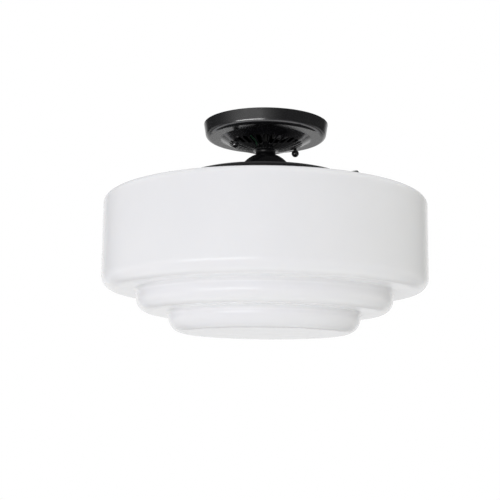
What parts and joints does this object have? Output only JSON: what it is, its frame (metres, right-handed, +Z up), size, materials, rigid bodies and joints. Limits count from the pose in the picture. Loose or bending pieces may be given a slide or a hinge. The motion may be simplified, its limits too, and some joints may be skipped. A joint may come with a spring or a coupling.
{
  "type": "semi flush ceiling light",
  "caption": "Semi flush ceiling light: stepped round opal glass drum held by thumbscrews in a shallow gallery, under a vented domed canopy with ball nuts.",
  "frame": {"origin": "centre of the two ceiling screw holes, in the plane of the ceiling", "axes": "+Z up into the ceiling along the light's axis, the light hangs along -Z, the picture is taken from -Y looking along +Y, +X to its right"},
  "size_m": [0.4059, 0.406, 0.2676],
  "materials": {
    "black_coat": "satin powder coat",
    "zinc_steel": "zinc plated",
    "black_steel": "black zinc plated",
    "earth_green": "green plated",
    "block_plastic": "matte",
    "brass": "satin",
    "porcelain": "glazed",
    "opal_glass": "glossy opal",
    "frosted_glass": "frosted",
    "lamp_metal": "satin",
    "black_insulator": "gloss",
    "green_wire": "smooth insulation",
    "black_wire": "smooth insulation"
  },
  "bodies": {
    "fixture": {"crossbar": "zinc_steel", "crossbar_studs": "black_steel", "stud_nuts": "black_steel", "earth_screw": "earth_green", "terminal_block": "block_plastic", "terminal_screws": "black_steel", "canopy": "black_coat", "stem": "black_steel", "stem_washer": "black_steel", "earth_lug": "black_steel", "stem_nut": "black_steel", "neck_ring": "black_coat", "dome_cap": "black_coat", "gallery": "black_coat", "gallery_bushes": "black_coat", "gallery_washer": "zinc_steel", "gallery_nut": "zinc_steel", "lampholder_cap": "porcelain", "lampholder_base": "porcelain", "lampholder_terminals": "brass", "lampholder_sleeve": "porcelain", "screw_shell": "brass", "centre_contact": "brass", "live_wire": "black_wire", "neutral_wire": "black_wire", "earth_wire": "green_wire"},
    "shade": {"glass_shade": "opal_glass"},
    "screw_right": {"thumbscrew_right": "black_coat"},
    "screw_back": {"thumbscrew_back": "black_coat"},
    "screw_left": {"thumbscrew_left": "black_coat"},
    "ball_right": {"ball_nut_right": "black_coat"},
    "ball_left": {"ball_nut_left": "black_coat"},
    "lamp": {"lamp_tip": "brass", "lamp_insulator": "black_insulator", "lamp_cap": "lamp_metal", "lamp_globe": "frosted_glass"}
  },
  "joints": [
    {"name": "shade_lower", "type": "slide", "parent": "fixture", "child": "shade", "axis": [0, 0, -1], "range_m": [0, 0.012]},
    {"name": "screw_right_out", "type": "slide", "parent": "fixture", "child": "screw_right", "axis": [0.8387, -0.5446, 0], "range_m": [0, 0.0084]},
    {"name": "screw_back_out", "type": "slide", "parent": "fixture", "child": "screw_back", "axis": [0.0523, 0.9986, 0], "range_m": [0, 0.0084]},
    {"name": "screw_left_out", "type": "slide", "parent": "fixture", "child": "screw_left", "axis": [-0.891, -0.454, 0], "range_m": [0, 0.0084]},
    {"name": "ball_right_down", "type": "slide", "parent": "fixture", "child": "ball_right", "axis": [0, 0, -1], "range_m": [0, 0.005]},
    {"name": "ball_left_down", "type": "slide", "parent": "fixture", "child": "ball_left", "axis": [0, 0, -1], "range_m": [0, 0.005]},
    {"name": "lamp_out", "type": "slide", "parent": "fixture", "child": "lamp", "axis": [0, 0, -1], "range_m": [0, 0.027]}
  ],
  "couplings": [
    {"joint": "screw_right_out", "follows": "shade_lower", "ratio": 0.7},
    {"joint": "screw_back_out", "follows": "shade_lower", "ratio": 0.7},
    {"joint": "screw_left_out", "follows": "shade_lower", "ratio": 0.7}
  ]
}
